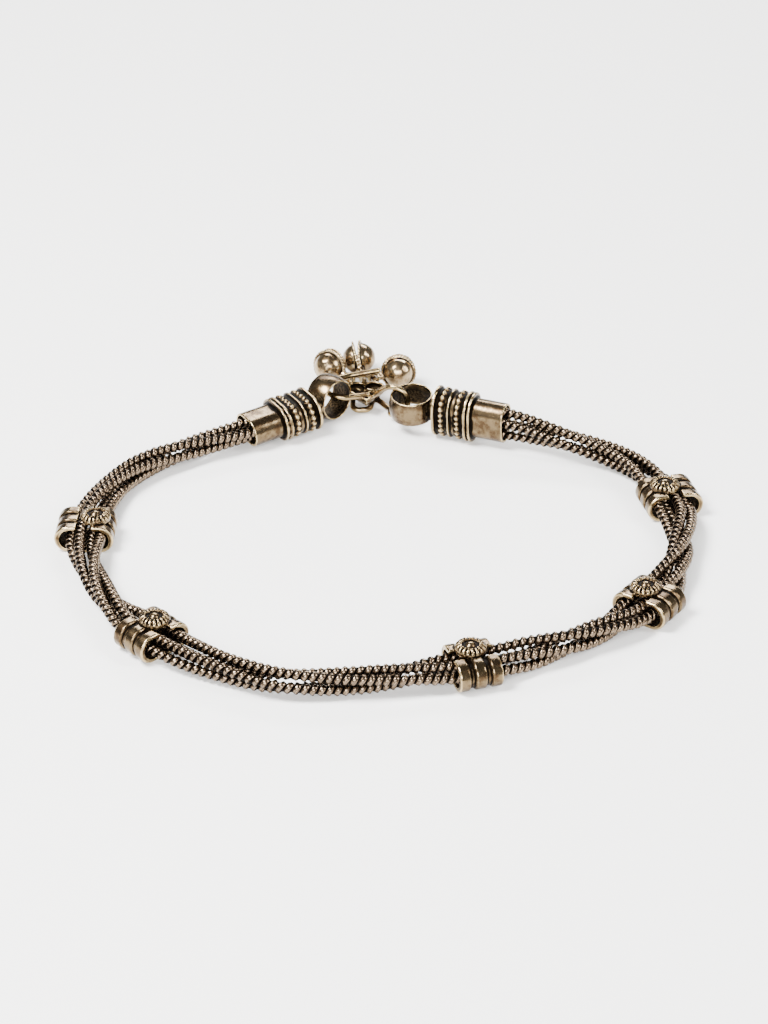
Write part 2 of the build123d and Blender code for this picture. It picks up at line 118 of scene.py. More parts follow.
def castMetal(name, look):
    # nickel silver, cast, blackened and tumbled: bright ridges, partly a painted highlight, brown-black
    # recesses of patina and painted shade, fine pits
    material = bpy.data.materials.new(name)
    material.use_nodes = True
    tree = material.node_tree
    tree.nodes.clear()
    place = addNode(tree, "ShaderNodeTexCoord").outputs["Object"]
    patinaAndShade = addNode(tree, "ShaderNodeAttribute", {"attribute_name": "patinaAndShade"}).outputs["Fac"]
    blotch = addNode(
        tree, "ShaderNodeTexNoise", None,
        {"Vector": place, "Scale": perSize(castSkin["blotchSize"]), "Detail": 4.0, "Roughness": 0.6},
    ).outputs["Fac"]
    grain = addNode(
        tree, "ShaderNodeTexNoise", None,
        {"Vector": place, "Scale": perSize(castSkin["gritSize"]), "Detail": 3.0, "Roughness": 0.65},
    ).outputs["Fac"]
    tone = addNode(
        tree, "ShaderNodeMapRange", {"interpolation_type": "SMOOTHSTEP"},
        {"Value": blotch, "From Min": 0.38, "From Max": 0.64},
    ).outputs["Result"]
    metal = addNode(
        tree, "ShaderNodeMix", {"data_type": "RGBA"},
        {"Factor": tone, "A": hexColour(look["bright"]), "B": hexColour(look["worn"])},
    ).outputs[2]
    # crests and edges are polished by wear and the tumbler, and this light colour also paints
    # highlights on them
    polishAndHighlight = addNode(
        tree, "ShaderNodeMapRange", {"interpolation_type": "SMOOTHSTEP"},
        {"Value": patinaAndShade, "From Min": -0.6, "From Max": -1.1, "To Max": 0.8},
    ).outputs["Result"]
    metal = addNode(
        tree, "ShaderNodeMix", {"data_type": "RGBA"},
        {"Factor": polishAndHighlight, "A": metal, "B": hexColour(look["polishedAndHighlight"])},
    ).outputs[2]
    # grain makes the edge of the dark recesses, patina and painted shade, uneven
    uneven = addNode(
        tree, "ShaderNodeMath", {"operation": "MULTIPLY_ADD"},
        {0: grain, 1: castSkin["unevenness"], 2: patinaAndShade},
    ).outputs[0]
    shift = castSkin["unevenness"] / 2  # what the grit adds on average
    recess = addNode(
        tree, "ShaderNodeMapRange", {"interpolation_type": "SMOOTHSTEP"},
        {"Value": uneven, "From Min": look["patinaShadeFrom"] + shift, "From Max": look["patinaShadeTo"] + shift},
    ).outputs["Result"]
    pit = addNode(
        tree, "ShaderNodeMapRange", {"interpolation_type": "SMOOTHSTEP"},
        {"Value": grain, "From Min": 0.66, "From Max": 0.76, "To Max": look["pits"]},
    ).outputs["Result"]
    dark = addNode(tree, "ShaderNodeMath", {"operation": "MAXIMUM"}, {0: recess, 1: pit}).outputs[0]
    # smooth hollows keep specks of bare metal where the blackening has rubbed through
    hollow = addNode(tree, "ShaderNodeAttribute", {"attribute_name": "hollow"}).outputs["Fac"]
    speck = addNode(
        tree, "ShaderNodeTexNoise", None,
        {"Vector": place, "Scale": perSize(castSkin["speckSize"]), "Detail": 4.0, "Roughness": 0.7},
    ).outputs["Fac"]
    rubbed = addNode(
        tree, "ShaderNodeMapRange", {"interpolation_type": "SMOOTHSTEP"},
        {"Value": speck, "From Min": 0.42, "From Max": 0.60},
    ).outputs["Result"]
    bare = addNode(
        tree, "ShaderNodeMath", {"operation": "MULTIPLY", "use_clamp": True}, {0: hollow, 1: rubbed}
    ).outputs[0]
    patinaShadeColour = addNode(
        tree, "ShaderNodeMix", {"data_type": "RGBA"},
        {"Factor": bare, "A": hexColour(look["patinaShadeColour"]), "B": hexColour(look["rubbed"])},
    ).outputs[2]
    colour = addNode(
        tree, "ShaderNodeMix", {"data_type": "RGBA"}, {"Factor": dark, "A": metal, "B": patinaShadeColour}
    ).outputs[2]
    low, high = look["roughness"]
    sheen = addNode(
        tree, "ShaderNodeMapRange", None,
        {"Value": blotch, "From Min": 0.3, "From Max": 0.7, "To Min": low, "To Max": high},
    ).outputs["Result"]
    rough = addNode(
        tree, "ShaderNodeMath", {"operation": "MULTIPLY_ADD", "use_clamp": True},
        {0: dark, 1: castSkin["darkRoughness"], 2: sheen},
    ).outputs[0]
    skin = addNode(
        tree, "ShaderNodeMath", {"operation": "MULTIPLY_ADD"},
        {0: pit, 1: castSkin["pitDrop"], 2: blotch},
    ).outputs[0]
    bump = addNode(
        tree, "ShaderNodeBump", None,
        {"Strength": 0.45, "Distance": castSkin["bumpDepth"] * mm, "Height": skin},
    ).outputs["Normal"]
    shader = addNode(
        tree, "ShaderNodeBsdfPrincipled", None,
        {"Base Color": colour, "Metallic": 1.0, "Roughness": rough, "Normal": bump},
    )
    addNode(tree, "ShaderNodeOutputMaterial", None, {"Surface": shader.outputs["BSDF"]})
    return material


chainLook = {
    "bright": "#907D67",
    "worn": "#45382C",
    "patinaShadeColour": "#070403",
    "roughness": (0.24, 0.7),  # rubbed metal, sulphide
    "grainSize": 0.35,
    "linkSpread": 60.0,  # keeps one link's lines unlike the next one's
    "lineScale": 2.6,  # lines across a link's face, fewer than the real ones so that they show
    "bumpDepth": 0.014,
}


def chainMetal(name, look):
    # flattened wire links, blackened whole, then rubbed along their outer faces: brown bands
    # with fine lines along them and a few bright ones, black where one link meets the next, which is
    # blackening and painted shade together
    material = bpy.data.materials.new(name)
    material.use_nodes = True
    tree = material.node_tree
    tree.nodes.clear()
    place = addNode(tree, "ShaderNodeTexCoord").outputs["Object"]
    wearAndShade = addNode(tree, "ShaderNodeAttribute", {"attribute_name": "wearAndShade"}).outputs["Fac"]
    link = addNode(tree, "ShaderNodeAttribute", {"attribute_name": "linkShade"}).outputs["Fac"]
    across = addNode(tree, "ShaderNodeAttribute", {"attribute_name": "across"}).outputs["Fac"]
    grain = addNode(
        tree, "ShaderNodeTexNoise", None,
        {"Vector": place, "Scale": perSize(look["grainSize"]), "Detail": 3.0, "Roughness": 0.6},
    ).outputs["Fac"]
    lineSpot = addNode(
        tree, "ShaderNodeMath", {"operation": "MULTIPLY_ADD"},
        {0: link, 1: look["linkSpread"], 2: across},
    ).outputs[0]
    lines = addNode(
        tree, "ShaderNodeTexNoise", {"noise_dimensions": "1D"},
        {"W": lineSpot, "Scale": look["lineScale"], "Detail": 2.0, "Roughness": 0.6},
    ).outputs["Fac"]
    blend = addNode(
        tree, "ShaderNodeMath", {"operation": "MULTIPLY_ADD"}, {0: grain, 1: 0.4, 2: lines}
    ).outputs[0]
    tone = addNode(
        tree, "ShaderNodeMapRange", {"interpolation_type": "SMOOTHSTEP"},
        {"Value": blend, "From Min": 0.5, "From Max": 0.86},
    ).outputs["Result"]
    metal = addNode(
        tree, "ShaderNodeMix", {"data_type": "RGBA"},
        {"Factor": tone, "A": hexColour(look["bright"]), "B": hexColour(look["worn"])},
    ).outputs[2]
    # the rubbed mask goes to black where wear is low, on the links' sides and in their holes, which
    # paints shade there beside the real rubbing
    uneven = addNode(
        tree, "ShaderNodeMath", {"operation": "MULTIPLY_ADD"}, {0: blend, 1: -0.4, 2: wearAndShade}
    ).outputs[0]
    rubbed = addNode(
        tree, "ShaderNodeMapRange", {"interpolation_type": "SMOOTHSTEP"},
        {"Value": uneven, "From Min": 0.05, "From Max": 0.66},
    ).outputs["Result"]
    colour = addNode(
        tree, "ShaderNodeMix", {"data_type": "RGBA"},
        {"Factor": rubbed, "A": hexColour(look["patinaShadeColour"]), "B": metal},
    ).outputs[2]
    low, high = look["roughness"]
    rough = addNode(
        tree, "ShaderNodeMapRange", None, {"Value": rubbed, "To Min": high, "To Max": low}
    ).outputs["Result"]
    bump = addNode(
        tree, "ShaderNodeBump", None,
        {"Strength": 0.5, "Distance": look["bumpDepth"] * mm, "Height": blend},
    ).outputs["Normal"]
    shader = addNode(
        tree, "ShaderNodeBsdfPrincipled", None,
        {"Base Color": colour, "Metallic": 1.0, "Roughness": rough, "Normal": bump},
    )
    addNode(tree, "ShaderNodeOutputMaterial", None, {"Surface": shader.outputs["BSDF"]})
    return material


blackenedCast = castMetal("blackened_cast_nickel_silver", oxidisedSilver)
goldenSheet = castMetal("golden_pressed_nickel_silver", bellMetal)
drawnWire = castMetal("drawn_nickel_silver_wire", hookWire)
rubbedChain = chainMetal("rubbed_flattened_chain", chainLook)
print("materials made")

capPlaces = {
    "left": {"mouth": (-19.6, 29.0, 2.66), "heading": 27.5, "rise": 3.5},
    "right": {"mouth": (21.0, 25.9, 4.24), "heading": 154.5, "rise": 0.0},
}
# the middle of the bundle, from the left cap's mouth round to the right cap's, in millimetres
route = [
    (-19.6, 29.0, 2.66, ""),
    (-28.0, 24.6, 2.40, ""),
    (-36.0, 19.4, 2.30, ""),
    (-41.4, 11.0, 2.30, ""),
    (-44.0, 1.5, 2.15, "slider_1"),
    (-43.4, -8.6, 2.30, ""),
    (-40.2, -18.6, 2.30, ""),
    (-34.2, -27.4, 2.15, "slider_2"),
    (-26.6, -34.9, 2.30, ""),
    (-17.4, -40.0, 2.30, ""),
    (-7.5, -40.9, 2.30, ""),
    (1.5, -39.8, 2.30, ""),
    (10.2, -37.8, 2.15, "slider_3"),
    (19.6, -35.2, 2.30, ""),
    (29.0, -30.5, 2.30, ""),
    (36.8, -23.4, 2.15, "slider_4"),
    (42.0, -14.4, 2.30, ""),
    (44.2, -4.4, 2.30, ""),
    (43.8, 5.4, 2.15, "slider_5"),
    (40.6, 14.0, 2.30, ""),
    (34.6, 19.5, 2.70, ""),
    (28.2, 22.6, 3.60, ""),
    (21.0, 25.9, 4.24, ""),
]
chain = {
    "strands": 4,
    "centrePitch": 1.80,  # least distance between two strands' middle lines
    "phase": 18.4,  # degrees; sets the zigzag in which flattened strands lie
    "inSlider": 2.45,  # half-width of the strands' middle lines, here and in the next three
    "inMouth": 2.0,
    "easing": 1.85,
    "twisted": 1.80 / math.sqrt(2) + 0.13,
    "flattening": 0.4,  # how much of that width counts against the bundle's height
    "ease": 0.15,  # how much slower the twist is beside a slider
    "station": 4.6,
    "inCap": 4.8,  # how far a strand reaches into a cap
    "mouthGap": 0.6,
    "sliderGap": 3.95,
    "aim": 9.0,  # how far inside each cap the bundle's line is aimed
    "twists": (180, 180, 180, 180, 180, 85),  # degrees between one slider and the next
    "linkPitch": 1.12,
    "linkRadius": 0.62,
    "linkSlant": -33,
    "linkSway": 4,  # degrees by which one link leans more or less than the next
    # which way the links' broad sides face, strand by strand
    "linkFacing": (
        (-0.05, -0.85, 0.62), (-0.05, -0.70, 0.75), (-0.05, -0.90, 0.45), (0.1, -0.80, 0.60),
    ),
    "linkSides": 12,
    # the flattened wire's section: out from the link's middle line, along the chain, and wear with
    # painted shade, whose low values darken the sides as shade
    "linkSection": (
        (0.25, 0.27, 1.0), (0.05, 0.40, 0.45), (-0.2, 0.0, 0.0),
        (0.05, -0.40, 0.45), (0.25, -0.27, 1.0),
    ),
    "waistSink": 0.05,  # the link is pinched at two sides, where it meets its neighbours
    "waistWidth": 0.62,
    "waistFrom": 0.05,  # sine of the angle from the pinched sides where the link starts to widen
    "waistSpan": 0.42,
    # how much wear the pinched sides keep; less of it paints shade there
    "waistWearAndShade": 0.6,
    "shadeCoreRadius": 0.56,  # a dark tube inside the links, painted shade seen between them
    "shadeCoreSides": 8,
    "seed": 11,
}


def capHeading(cap):
    level, up = math.radians(cap["heading"]), math.radians(cap["rise"])
    return Vector((math.cos(level) * math.cos(up), math.sin(level) * math.cos(up), math.sin(up)))


def bundleLine(steps=24):
    knots = [Vector(row[:3]) for row in route]
    before = knots[0] + capHeading(capPlaces["left"]) * chain["aim"]
    after = knots[-1] + capHeading(capPlaces["right"]) * chain["aim"]
    knots = [before] + knots + [after]
    line = []
    for a, b, c, d in zip(knots, knots[1:], knots[2:], knots[3:]):
        for k in range(steps):
            t = k / steps
            slope = (c - a) * (t / 2)
            bend = (2 * a - 5 * b + 4 * c - d) * (t * t / 2)
            line.append(b + slope + bend + (3 * b - a - 3 * c + d) * (t * t * t / 2))
    line.append(knots[-2])
    travelled = [0.0]
    for a, b in zip(line, line[1:]):
        travelled.append(travelled[-1] + (b - a).length)
    return line, travelled, travelled[::steps]


bundle, travelled, knotTravel = bundleLine()


def bundleAt(distance):
    last = max(k for k in range(len(travelled) - 1) if travelled[k] <= distance)
    a, b = bundle[last], bundle[last + 1]
    part = (distance - travelled[last]) / (travelled[last + 1] - travelled[last])
    return a.lerp(b, part), (b - a).normalized()


def bundleStations():
    stops = [0.0] + [at for at, row in zip(knotTravel, route) if row[3]] + [knotTravel[-1]]
    left, right = (capHeading(capPlaces[side]) for side in ("left", "right"))
    start = Vector(capPlaces["left"]["mouth"]) + left * chain["inCap"]
    rows = [(start, -left, chain["inMouth"], 0.0)]
    turn = 0.0
    stretches = len(chain["twists"])
    for index, twist in enumerate(chain["twists"]):
        fromMouth, toMouth = index == 0, index == stretches - 1
        first = stops[index] + (chain["mouthGap"] if fromMouth else chain["sliderGap"])
        last = stops[index + 1] - (chain["mouthGap"] if toMouth else chain["sliderGap"])
        runs = round((last - first) / chain["station"])
        for k in range(runs + 1):
            part = k / runs
            middle, heading = bundleAt(first + (last - first) * part)
            eased = part - chain["ease"] * math.sin(2 * math.pi * part) / (2 * math.pi)
            spread = chain["twisted"]
            if k in (1, runs - 1):
                spread = chain["easing"]
            if k in (0, runs):
                atMouth = (fromMouth and k == 0) or (toMouth and k == runs)
                spread = chain["inMouth"] if atMouth else chain["inSlider"]
            rows.append((middle, heading, spread, turn + twist * eased))
        turn += twist
    end = Vector(capPlaces["right"]["mouth"]) + right * chain["inCap"]
    rows.append((end, right, chain["inMouth"], turn))
    return rows


def strandCurve(index, rows):
    phase = math.radians(chain["phase"] + 360 * index / chain["strands"])
    data = bpy.data.curves.new(f"strandLine{index + 1}", "CURVE")
    data.dimensions = "3D"
    data.twist_mode = "Z_UP"
    data.resolution_u = 6
    spline = data.splines.new("NURBS")
    spline.points.add(len(rows) - 1)
    for point, (middle, heading, spread, turn) in zip(spline.points, rows):
        share = chain["flattening"]
        rise = math.sqrt((chain["centrePitch"] ** 2 - share * spread**2) / (2 - share))
        u, v = spread * math.cos(phase), rise * math.sin(phase)
        c, s = math.cos(math.radians(turn)), math.sin(math.radians(turn))
        across = Vector((-heading.y, heading.x, 0)).normalized()
        spot = (middle + across * (u * c - v * s) + Vector((0, 0, u * s + v * c))) * mm
        point.co = (*spot, 1)
        point.tilt = math.radians(turn)
    spline.order_u = 3
    spline.use_endpoint_u = True
    return addObject(f"strandLine{index + 1}", data)


def linkMesh():
    # a flattened ring with its hole along Z, pinched at both X sides; the wear value, which also paints
    # shade, is 1 on the outside and 0 in the hole, across runs from -1 to 1 over the ring's width
    sides, section = chain["linkSides"], chain["linkSection"]
    wires = len(section)
    spots, wearAndShade, across, faces = [], [], [], []
    for i in range(sides):
        angle = 2 * math.pi * i / sides
        lobe = (abs(math.sin(angle)) - chain["waistFrom"]) / chain["waistSpan"]
        lobe = min(1.0, max(0.0, lobe))
        lobe = lobe * lobe * (3 - 2 * lobe)
        pinch = chain["waistWidth"] + (1 - chain["waistWidth"]) * lobe
        for j, (out, along, rubbed) in enumerate(section):
            out = (chain["linkRadius"] + out - chain["waistSink"] * (1 - lobe)) * mm
            spots.append((out * math.cos(angle), out * math.sin(angle), along * pinch * mm))
            # lower wear on the pinched sides paints shade where one link meets the next
            wearAndShade.append(rubbed * (chain["waistWearAndShade"] + (1 - chain["waistWearAndShade"]) * lobe))
            across.append(along / section[0][1])
            here, ahead = i * wires, (i + 1) % sides * wires
            beside = (j + 1) % wires
            faces.append((here + j, ahead + j, ahead + beside, here + beside))
    mesh = bpy.data.meshes.new("link")
    mesh.from_pydata(spots, [], faces)
    for name, values in (("wearAndShade", wearAndShade), ("across", across)):
        mesh.attributes.new(name, "FLOAT", "POINT").data.foreach_set("value", values)
    mesh.shade_smooth()
    return mesh


def threadTree():
    tree = bpy.data.node_groups.new("threadLinks", "GeometryNodeTree")
    face = tree.interface
    face.new_socket("Geometry", in_out="OUTPUT", socket_type="NodeSocketGeometry")
    for label, kind in (
        ("Geometry", "Geometry"), ("Link", "Object"), ("Pitch", "Float"), ("Facing", "Vector"),
        ("Slant", "Float"), ("Sway", "Float"), ("Core Radius", "Float"), ("Seed", "Int"),
        ("Metal", "Material"),
    ):
        face.new_socket(label, in_out="INPUT", socket_type=f"NodeSocket{kind}")
    given = addNode(tree, "NodeGroupInput").outputs
    spaced = addNode(
        tree, "GeometryNodeResampleCurve", {"mode": "LENGTH"},
        {"Curve": given["Geometry"], "Length": given["Pitch"]},
    ).outputs["Curve"]
    tangent = addNode(tree, "GeometryNodeInputTangent").outputs["Tangent"]
    lay = addNode(
        tree, "FunctionNodeAxesToRotation", {"primary_axis": "Z", "secondary_axis": "Y"},
        {"Primary Axis": tangent, "Secondary Axis": given["Facing"]},
    ).outputs["Rotation"]
    sway = addNode(
        tree, "FunctionNodeRandomValue", {"data_type": "FLOAT"},
        {2: -1.0, 3: 1.0, "Seed": given["Seed"]},
    ).outputs[1]
    lean = addNode(
        tree, "ShaderNodeMath", {"operation": "MULTIPLY_ADD"},
        {0: sway, 1: given["Sway"], 2: given["Slant"]},
    ).outputs[0]
    leanAxes = addNode(tree, "ShaderNodeCombineXYZ", None, {"Y": lean}).outputs[0]
    leanTurn = addNode(tree, "FunctionNodeEulerToRotation", None, {"Euler": leanAxes}).outputs[0]
    turned = addNode(
        tree, "FunctionNodeRotateRotation", {"rotation_space": "LOCAL"},
        {"Rotation": lay, "Rotate By": leanTurn},
    ).outputs[0]
    link = addNode(
        tree, "GeometryNodeObjectInfo", {"transform_space": "ORIGINAL"}, {"Object": given["Link"]}
    ).outputs["Geometry"]
    threaded = addNode(
        tree, "GeometryNodeInstanceOnPoints", None,
        {"Points": spaced, "Instance": link, "Rotation": turned},
    ).outputs["Instances"]
    shade = addNode(
        tree, "FunctionNodeRandomValue", {"data_type": "FLOAT"}, {"Seed": given["Seed"]}
    ).outputs[1]
    shaded = addNode(
        tree, "GeometryNodeStoreNamedAttribute", {"data_type": "FLOAT", "domain": "INSTANCE"},
        {"Geometry": threaded, "Name": "linkShade", "Value": shade},
    ).outputs["Geometry"]
    # a dark tube along the strand, seen between links: with no wear value the material paints it black,
    # as shade
    circle = addNode(
        tree, "GeometryNodeCurvePrimitiveCircle", None,
        {"Resolution": chain["shadeCoreSides"], "Radius": given["Core Radius"]},
    ).outputs["Curve"]
    shadeCore = addNode(
        tree, "GeometryNodeCurveToMesh", None,
        {"Curve": spaced, "Profile Curve": circle, "Fill Caps": True},
    ).outputs["Mesh"]
    joined = addNode(tree, "GeometryNodeJoinGeometry", None, {"Geometry": shaded})
    tree.links.new(shadeCore, joined.inputs["Geometry"])
    real = addNode(
        tree, "GeometryNodeRealizeInstances", None, {"Geometry": joined.outputs["Geometry"]}
    ).outputs["Geometry"]
    smooth = addNode(
        tree, "GeometryNodeSetShadeSmooth", None, {"Geometry": real}
    ).outputs["Geometry"]
    metal = addNode(
        tree, "GeometryNodeSetMaterial", None, {"Geometry": smooth, "Material": given["Metal"]}
    ).outputs["Geometry"]
    addNode(tree, "NodeGroupOutput", None, {"Geometry": metal})
    return tree


def runTree(carrier, tree, values):
    # runs a Geometry Nodes tree on an object and gives its result as a plain mesh
    modifier = carrier.modifiers.new(tree.name, "NODES")
    modifier.node_group = tree
    for item in tree.interface.items_tree:
        if item.item_type == "SOCKET" and item.in_out == "INPUT" and item.name in values:
            modifier[item.identifier] = values[item.name]
    bpy.context.view_layer.update()
    evaluated = carrier.evaluated_get(bpy.context.evaluated_depsgraph_get())
    mesh = bpy.data.meshes.new_from_object(evaluated)
    carrier.modifiers.remove(modifier)
    return mesh


linkObject = addObject("linkPattern", linkMesh())
threadLinks = threadTree()
rows = bundleStations()
for index in range(chain["strands"]):
    line = strandCurve(index, rows)
    mesh = runTree(line, threadLinks, {
        "Link": linkObject,
        "Pitch": chain["linkPitch"] * mm,
        "Facing": chain["linkFacing"][index],
        "Slant": math.radians(chain["linkSlant"]),
        "Sway": math.radians(chain["linkSway"]),
        "Core Radius": chain["shadeCoreRadius"] * mm,
        "Seed": chain["seed"] + index,
        "Metal": rubbedChain,
    })
    links = addObject(f"chain_links_{index + 1}", mesh)
    bpy.data.objects.remove(line)
    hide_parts(f"strand_{index + 1}")
    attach(links, "root")
    print(f"chain strand {index + 1}:", len(mesh.polygons), "faces")
bpy.data.objects.remove(linkObject)

castWork = {
    "sliderGrain": 0.105,  # size of the mesh's cells
    "capGrain": 0.12,
    "wireGrain": 0.10,
    "bellGrain": 0.10,
    "softenings": 2,  # rounds of softening, each this strong
    "softness": 0.6,
    "wireSoftenings": 3,
    "dentSize": 0.9,
    "dentDepth": 0.012,
    "wireDentDepth": 0.008,
    "bellDentDepth": 0.055,
    "ballDentDepth": 0.01,
}
# where the recesses darken, with patina and painted shade, and where the blackening is rubbed off
recessDarkening = {
    "rays": 12,
    "quickRays": 5,
    "reach": 7.0,  # how far off a wall still shelters a point
    "fade": 0.6,  # how much less the farthest one does
    "lift": 0.03,
    "turn": 2.399963,  # radians between two rays, which spreads them evenly
    "grooveScales": (6, 24, 70),  # rounds of averaging, for fine to broad grooves
    "grooveDepth": 0.028,
    "shelterShare": 1.1,
    "grooveShare": 0.40,
    "range": (-1.2, 1.4),
    "flatness": 0.22,  # smooth hollows are those with no finer groove than this
    "hollowGain": 1.6,
    "hollowLoss": 0.28,
    "shelterBlur": 3,
    "hollowBlur": 8,
}


def meshArrays(mesh):
    count = len(mesh.vertices)
    spots = np.empty(count * 3)
    mesh.vertices.foreach_get("co", spots)
    ends = np.empty(len(mesh.edges) * 2, dtype=np.int32)
    mesh.edges.foreach_get("vertices", ends)
    return spots.reshape(-1, 3), ends.reshape(-1, 2).T


def averager(count, ends):
    a, b = ends
    degree = np.maximum(np.bincount(a, minlength=count) + np.bincount(b, minlength=count), 1)

    def average(values):
        columns = [
            np.bincount(a, values[b, k], count) + np.bincount(b, values[a, k], count)
            for k in range(values.shape[1])
        ]
        return np.stack(columns, 1) / degree[:, None]

    return average


def vertexNormals(mesh):
    normals = np.empty(len(mesh.vertices) * 3)
    mesh.vertex_normals.foreach_get("vector", normals)
    return normals.reshape(-1, 3)


def hemisphere(rays):
    # directions about +Z, more of them near it, on a spiral
    directions = []
    for k in range(rays):
        height = math.sqrt(1 - (k + 0.5) / rays)
        out, angle = math.sqrt(1 - height * height), k * recessDarkening["turn"]
        directions.append((out * math.cos(angle), out * math.sin(angle), height))
    return np.array(directions)


def closedIn(mesh, spots, normals):
    # how much of the sky over each point is hidden by the piece itself, 0 to 1
    tree = BVHTree.FromPolygons(spots.tolist(), [tuple(p.vertices) for p in mesh.polygons])
    rays = recessDarkening["rays"]
    dome = hemisphere(rays)
    helper = np.where(np.abs(normals[:, 2:]) < 0.9, [[0.0, 0.0, 1.0]], [[1.0, 0.0, 0.0]])
    side = np.cross(helper, normals)
    side /= np.linalg.norm(side, axis=1)[:, None]
    other = np.cross(normals, side)
    starts = spots + normals * recessDarkening["lift"] * mm
    hidden = np.zeros(len(spots))
    reach = recessDarkening["reach"] * mm
    for x, y, z in dome:
        ways = side * x + other * y + normals * z
        for k, (start, way) in enumerate(zip(starts.tolist(), ways.tolist())):
            hit = tree.ray_cast(start, way, reach)
            if hit[3] is not None:
                hidden[k] += 1 - recessDarkening["fade"] * hit[3] / reach
    return hidden / rays


def findRecesses(mesh):
    # the recess value is high in recesses and sheltered spots, for patina and painted shade, and low on
    # crests, for polish and a painted highlight; hollow marks smooth, sheltered walls
    spots, ends = meshArrays(mesh)
    normals = vertexNormals(mesh)
    average = averager(len(spots), ends)
    grooves = []
    smooth, done = spots, 0
    for scale in recessDarkening["grooveScales"]:
        for _ in range(scale - done):
            smooth = average(smooth)
        done = scale
        depth = np.einsum("ij,ij->i", smooth - spots, normals)
        grooves.append(depth / (recessDarkening["grooveDepth"] * mm * math.sqrt(scale)))
    # points whose sky is hidden by the piece darken as painted shade; the grooves add the patina that
    # lies in them
    hidden = closedIn(mesh, spots, normals)[:, None]
    hollow = hidden * (np.abs(grooves[0]) < recessDarkening["flatness"])[:, None]
    for _ in range(recessDarkening["shelterBlur"]):
        hidden = average(hidden)
    for _ in range(recessDarkening["hollowBlur"]):
        hollow = average(hollow)
    patinaAndShade = recessDarkening["shelterShare"] * hidden[:, 0] + recessDarkening["grooveShare"] * sum(grooves)
    patinaAndShade = np.clip(patinaAndShade, *recessDarkening["range"])
    hollow = recessDarkening["hollowGain"] * hollow[:, 0] - recessDarkening["hollowLoss"]
    for name, values in (("patinaAndShade", patinaAndShade), ("hollow", np.clip(hollow, 0.0, 1.0))):
        mesh.attributes.new(name, "FLOAT", "POINT").data.foreach_set("value", values)


def castCopy(node, grain, dentDepth, softenings, extras=()):
    # the piece's own form as one even skin, its edges softened and slightly dented
    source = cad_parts[node].data.copy()
    shell = bmesh.new()
    shell.from_mesh(source)
    bmesh.ops.remove_doubles(shell, verts=shell.verts, dist=0.001 * mm)
    for extra in extras:
        shell.from_mesh(extra)
    shell.to_mesh(source)
    shell.free()
    draft = addObject("draft", source)
    remesh = draft.modifiers.new("fuse", "REMESH")
    remesh.mode = "VOXEL"
    remesh.voxel_size = grain * mm
    bpy.context.view_layer.update()
    evaluated = draft.evaluated_get(bpy.context.evaluated_depsgraph_get())
    mesh = bpy.data.meshes.new_from_object(evaluated)
    bpy.data.objects.remove(draft)
    spots, ends = meshArrays(mesh)
    average = averager(len(spots), ends)
    for _ in range(softenings):
        spots = spots * (1 - castWork["softness"]) + average(spots) * castWork["softness"]
    mesh.vertices.foreach_set("co", spots.ravel())
    mesh.update()
    normals = vertexNormals(mesh)
    size = castWork["dentSize"] * mm
    dents = np.array([noise.noise(Vector(spot) / size) for spot in spots])
    spots = spots + normals * (dents * (dentDepth * mm))[:, None]
    mesh.vertices.foreach_set("co", spots.ravel())
    mesh.update()
    mesh.shade_smooth()
    mesh.name = node + "_form"
    return mesh


def dressNode(node, name, mesh, material):
    findRecesses(mesh)
    mesh.materials.clear()
    mesh.materials.append(material)
    piece = addObject(name, mesh)
    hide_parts(node)
    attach(piece, "root")
    print(name, len(mesh.polygons), "faces")


castDents, castSoftenings = castWork["dentDepth"], castWork["softenings"]
for index in range(1, 6):
    form = castCopy(f"slider_{index}", castWork["sliderGrain"], castDents, castSoftenings)
    dressNode(f"slider_{index}", f"ribbed_slider_{index}", form, blackenedCast)
for side in ("left", "right"):
    form = castCopy(f"end_cap_{side}", castWork["capGrain"], castDents, castSoftenings)
    dressNode(f"end_cap_{side}", f"cap_{side}", form, blackenedCast)

bellWork = {
    "ringMiddle": (-0.5, 45.12, 2.1),
    "ringLean": 0.08,
    "ringRadius": 2.15,
    "neck": 4.1,  # from the ring's wire to the bell's middle
    "brimRadius": 2.75,
    "brimThickness": 0.34,
    "gape": 5.5,  # degrees that each cup leans from the slit
    "grains": 34,  # beads in each milled edge
    "grainSize": 0.42,
    # where each hangs on its ring, in degrees, its middle, and the way its first cup faces
    "bells": (
        (158, (-5.9, 48.8, 3.2), (-0.60, -0.78, 0.20)),
        (95, (-0.7, 51.1, 2.9), (0.86, -0.50, 0.05)),
        (25, (5.6, 46.2, 2.95), (-0.45, -0.87, 0.12)),
    ),
}


def squareTo(way, axis):
    return (way - axis * way.dot(axis)).normalized()


def brimPlaces(hung, middle, facing):
    # the middle of each cup's brim and the way the cup faces, in millimetres
    up = Vector((0, bellWork["ringLean"], 1)).normalized()
    x = squareTo(Vector((1, 0, 0)), up)
    y = up.cross(x)
    turn = math.radians(hung)
    outward = (x * math.cos(turn) + y * math.sin(turn)) * bellWork["ringRadius"]
    hook = Vector(bellWork["ringMiddle"]) + outward
    down = (Vector(middle) - hook).normalized()
    middle = hook + down * bellWork["neck"]
    face = squareTo(Vector(facing), down)
    hinge = middle - down * bellWork["brimRadius"]
    places = []
    for side in (1, -1):
        lean = Quaternion(face.cross(down), math.radians(-side * bellWork["gape"]))
        axis = lean @ (face * side)
        centre = hinge + lean @ (middle - hinge) + axis * bellWork["brimThickness"] / 2
        places.append((centre, axis))
    return places


